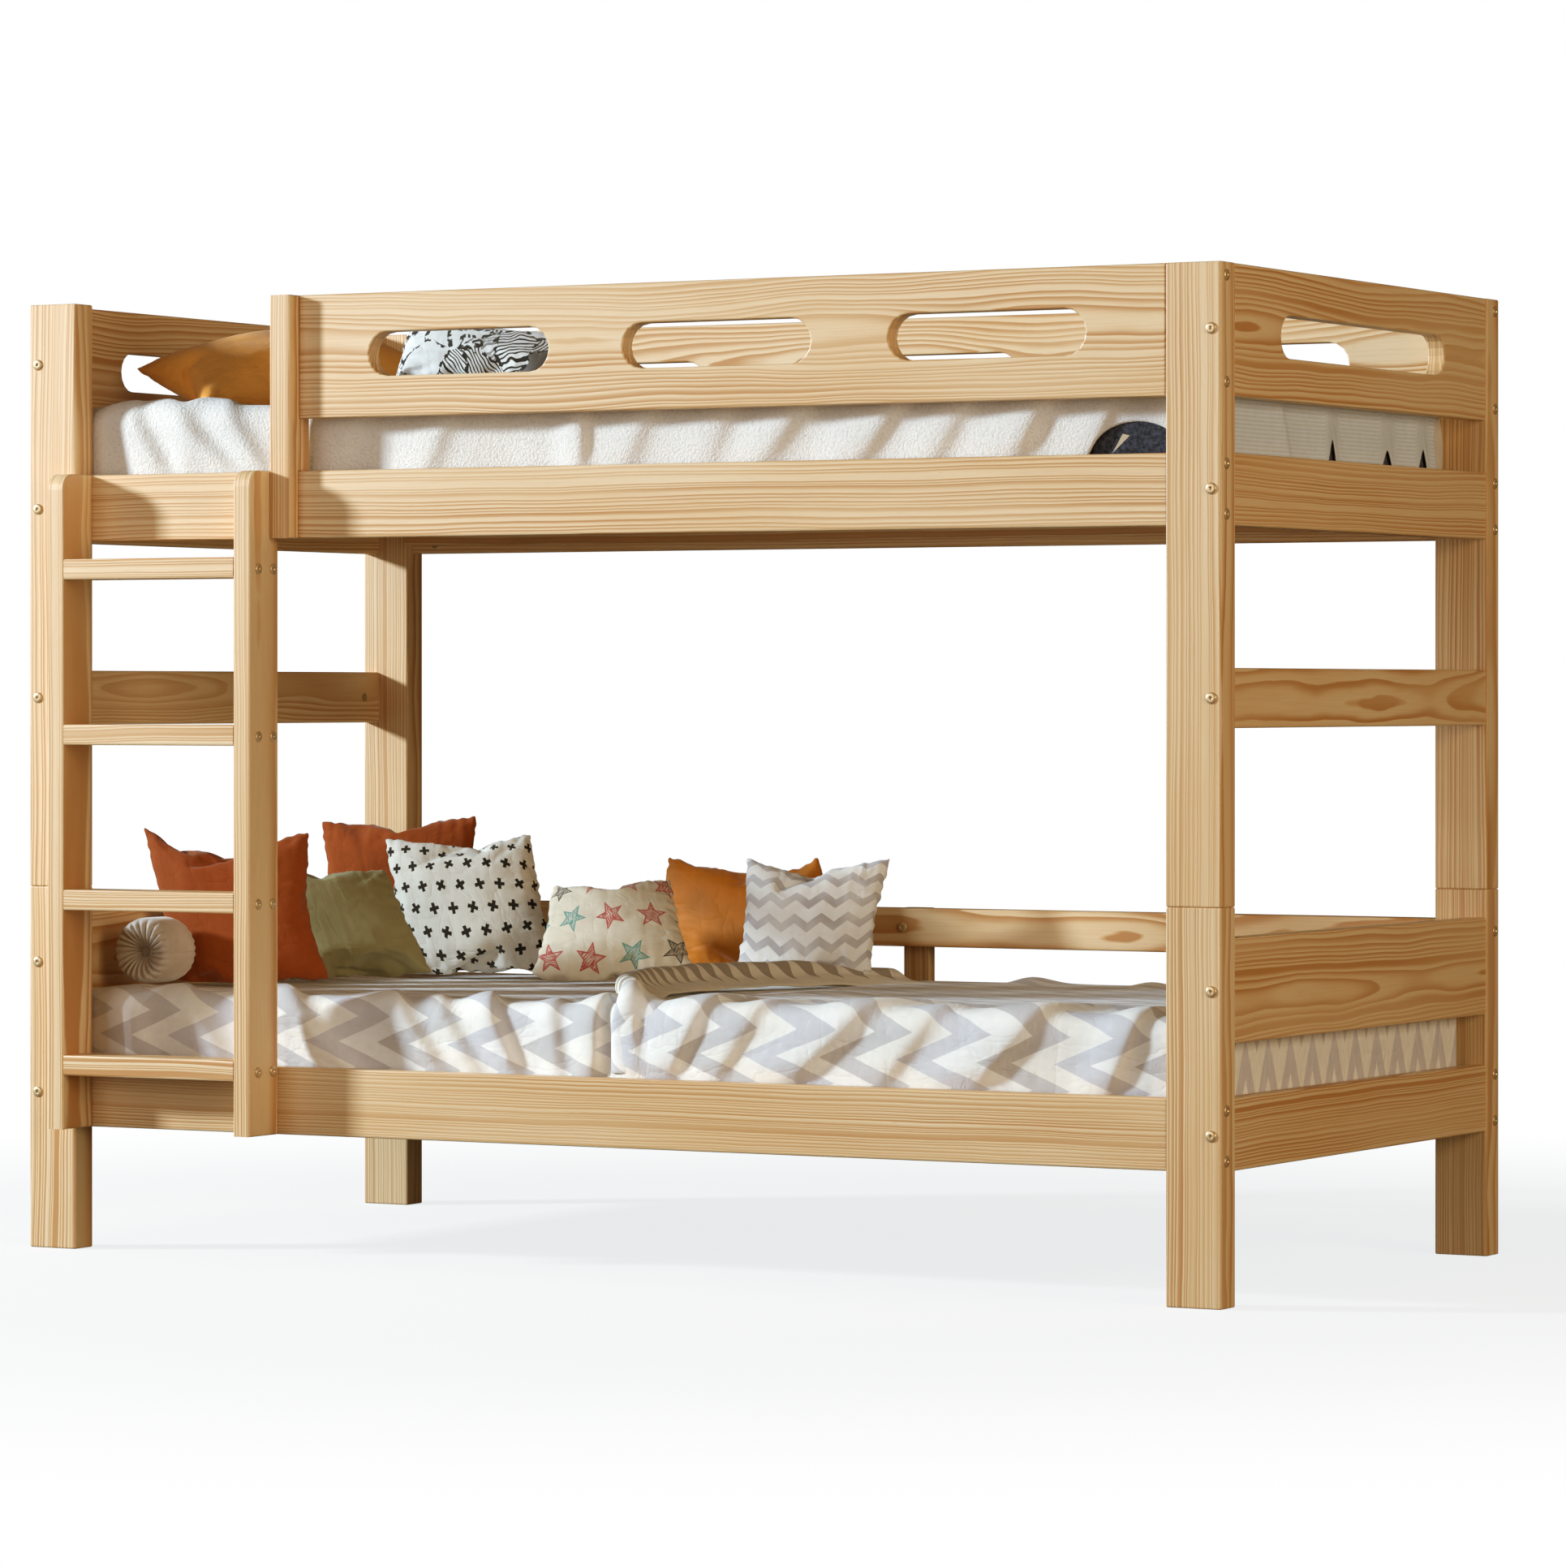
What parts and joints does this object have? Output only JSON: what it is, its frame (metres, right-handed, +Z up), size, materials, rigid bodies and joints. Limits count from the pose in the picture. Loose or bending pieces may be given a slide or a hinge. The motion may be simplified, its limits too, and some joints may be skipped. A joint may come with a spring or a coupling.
{
  "type": "bunk bed with ladder",
  "caption": "Wooden bunk bed: stacked single beds on square posts with rails, slotted guard boards, a fixed front ladder, slat bases, mattresses and bedding.",
  "frame": {"origin": "middle of the footprint on the floor, ladder and rear stay included", "axes": "+X along the bed from the ladder end to the other end, -Y is the front with the ladder, +Z up"},
  "size_m": [2.08, 1.112, 1.49],
  "materials": {
    "pine": "clear satin lacquer",
    "slat_pine": "planed, unlacquered",
    "steel_pin": "plain steel",
    "bolt_brass": "satin plated, low dome socket head",
    "mattress_ticking": "woven ticking",
    "slat_tape": "woven tape",
    "chevron_quilt": "printed cotton quilt",
    "quilt_lining": "printed cotton lining",
    "white_throw": "soft short pile",
    "grey_blanket": "ribbed knit",
    "navy_cotton": "plain cotton",
    "terracotta_cotton": "plain cotton",
    "olive_cotton": "plain cotton",
    "plus_print": "cotton with small black plus marks",
    "star_print": "cotton with scattered stars",
    "mustard_satin": "soft satin weave",
    "zigzag_print": "cotton with grey zigzag",
    "grey_velvet": "pleated velvet",
    "ochre_cotton": "plain cotton",
    "black_white_print": "cotton with black line print"
  },
  "bodies": {
    "lower_bunk": {"lower_post_front_left": "pine", "lower_post_front_right": "pine", "lower_post_back_left": "pine", "lower_post_back_right": "pine", "stacking_pin_front_left": "steel_pin", "stacking_pin_front_right": "steel_pin", "stacking_pin_back_left": "steel_pin", "stacking_pin_back_right": "steel_pin", "lower_front_rail": "pine", "lower_back_rail": "pine", "lower_left_end_rail": "pine", "lower_right_end_rail": "pine", "lower_left_end_board": "pine", "lower_right_end_board": "pine", "lower_back_guard_rail": "pine", "lower_back_stay": "pine", "lower_front_ledger": "pine", "lower_back_ledger": "pine", "lower_slat_roll": "slat_pine"},
    "upper_bunk": {"upper_post_front_left": "pine", "upper_post_front_right": "pine", "upper_post_back_left": "pine", "upper_post_back_right": "pine", "upper_front_rail": "pine", "upper_back_rail": "pine", "upper_left_end_rail": "pine", "upper_right_end_rail": "pine", "upper_left_end_board": "pine", "upper_right_end_board": "pine", "left_mid_rail": "pine", "right_mid_rail": "pine", "upper_front_guard_rail": "pine", "upper_back_guard_rail": "pine", "guard_post": "pine", "upper_front_ledger": "pine", "upper_back_ledger": "pine", "upper_slat_roll": "slat_pine", "ladder_left_stile": "pine", "ladder_right_stile": "pine", "ladder_rung_1": "pine", "ladder_rung_2": "pine", "ladder_rung_3": "pine", "ladder_rung_4": "pine"},
    "lower_bedding": {"lower_mattress": "mattress_ticking", "lower_quilt": "chevron_quilt", "terracotta_cushion_front": "terracotta_cotton", "terracotta_cushion_back": "terracotta_cotton", "olive_cushion": "olive_cotton", "plus_cushion": "plus_print", "star_cushion": "star_print", "mustard_cushion": "mustard_satin", "zigzag_cushion": "zigzag_print", "bolster": "grey_velvet"},
    "upper_bedding": {"upper_mattress": "mattress_ticking", "upper_throw": "white_throw", "ochre_cushion": "ochre_cotton", "patterned_pillow": "black_white_print"}
  },
  "joints": [
    {"name": "upper_bunk_lift", "type": "slide", "parent": "lower_bunk", "child": "upper_bunk", "axis": [0, 0, 1], "range_m": [0, 0.05]},
    {"name": "lower_mattress_lift", "type": "slide", "parent": "lower_bunk", "child": "lower_bedding", "axis": [0, 0, 1], "range_m": [0, 0.1]},
    {"name": "upper_mattress_lift", "type": "slide", "parent": "upper_bunk", "child": "upper_bedding", "axis": [0, 0, 1], "range_m": [0, 0.32]}
  ]
}
